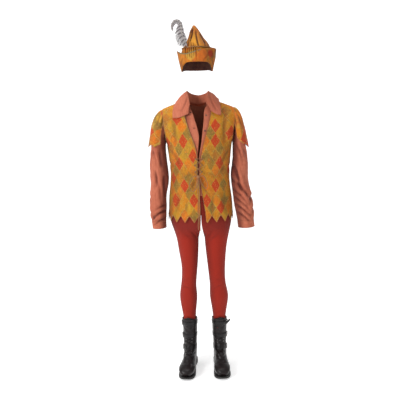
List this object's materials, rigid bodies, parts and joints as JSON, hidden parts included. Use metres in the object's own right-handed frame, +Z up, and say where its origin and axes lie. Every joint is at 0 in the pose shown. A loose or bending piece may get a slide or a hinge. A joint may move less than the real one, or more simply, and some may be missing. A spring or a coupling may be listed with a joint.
{
  "type": "minstrel costume",
  "caption": "Worn-pose minstrel costume: peaked hat with feather, open-collar shirt, laced harlequin jerkin with dagged hem, knit hose and strapped boots, hollow inside.",
  "frame": {"origin": "where the wearer holds the costume up: the middle of the shoulder line at the base of the neck, 1.53 m above the soles", "axes": "+Z up along the body, front facing -Y, wearer's right side at -X and left side at +X"},
  "size_m": [0.5882, 0.2978, 2.0006],
  "materials": {
    "jerkin_cloth": "matt suede-like cotton dyed in harlequin diamonds of orange, ochre, olive, tan and red",
    "hat_cloth": "matt suede-like cotton in ochre, orange and brown-red patches",
    "shirt_cotton": "matt terracotta cotton with a fine vertical rib",
    "hose_knit": "brick-red fine knit",
    "boot_leather": "very dark brown leather with a soft sheen",
    "boot_sole": "black, matt",
    "buckle_steel": "darkened, satin",
    "eyelet_brass": "aged",
    "thong_leather": "tan, matt",
    "button_horn": "brown horn, satin",
    "feather_vane": "grey barred feather, soft",
    "feather_quill": "pale, satin"
  },
  "bodies": {
    "root": {"hat_crown_right": "hat_cloth", "hat_crown_left": "hat_cloth", "hat_brim_right": "hat_cloth", "hat_brim_left": "hat_cloth", "hat_cord": "thong_leather", "feather_quill": "feather_quill", "feather_vane_outer": "feather_vane", "feather_vane_inner": "feather_vane", "jerkin_front_right": "jerkin_cloth", "jerkin_front_left": "jerkin_cloth", "jerkin_back": "jerkin_cloth", "jerkin_cap_right": "jerkin_cloth", "jerkin_cap_left": "jerkin_cloth", "jerkin_eyelet_right_1": "eyelet_brass", "jerkin_eyelet_right_2": "eyelet_brass", "jerkin_eyelet_right_3": "eyelet_brass", "jerkin_eyelet_left_1": "eyelet_brass", "jerkin_eyelet_left_2": "eyelet_brass", "jerkin_eyelet_left_3": "eyelet_brass", "thong_strand_under": "thong_leather", "thong_strand_over": "thong_leather", "thong_knot": "thong_leather", "thong_loop_right": "thong_leather", "thong_loop_left": "thong_leather", "thong_tail_right": "thong_leather", "thong_tail_left": "thong_leather", "shirt_front_right": "shirt_cotton", "shirt_front_left": "shirt_cotton", "shirt_back": "shirt_cotton", "shirt_sleeve_right": "shirt_cotton", "shirt_sleeve_left": "shirt_cotton", "shirt_cuff_right": "shirt_cotton", "shirt_cuff_left": "shirt_cotton", "shirt_collar_stand": "shirt_cotton", "shirt_collar_fall": "shirt_cotton", "shirt_button_1": "button_horn", "shirt_button_2": "button_horn", "hose_waistband": "hose_knit", "hose_leg_right": "hose_knit", "hose_leg_left": "hose_knit", "boot_upper_right": "boot_leather", "boot_upper_left": "boot_leather", "boot_sole_right": "boot_sole", "boot_sole_left": "boot_sole", "boot_toe_cap_right": "boot_leather", "boot_toe_cap_left": "boot_leather", "boot_tongue_right": "boot_leather", "boot_tongue_left": "boot_leather", "boot_strap_right_1": "boot_leather", "boot_strap_right_2": "boot_leather", "boot_strap_right_3": "boot_leather", "boot_strap_left_1": "boot_leather", "boot_strap_left_2": "boot_leather", "boot_strap_left_3": "boot_leather", "boot_buckle_right_1": "buckle_steel", "boot_buckle_right_2": "buckle_steel", "boot_buckle_right_3": "buckle_steel", "boot_buckle_left_1": "buckle_steel", "boot_buckle_left_2": "buckle_steel", "boot_buckle_left_3": "buckle_steel"}
  },
  "joints": []
}
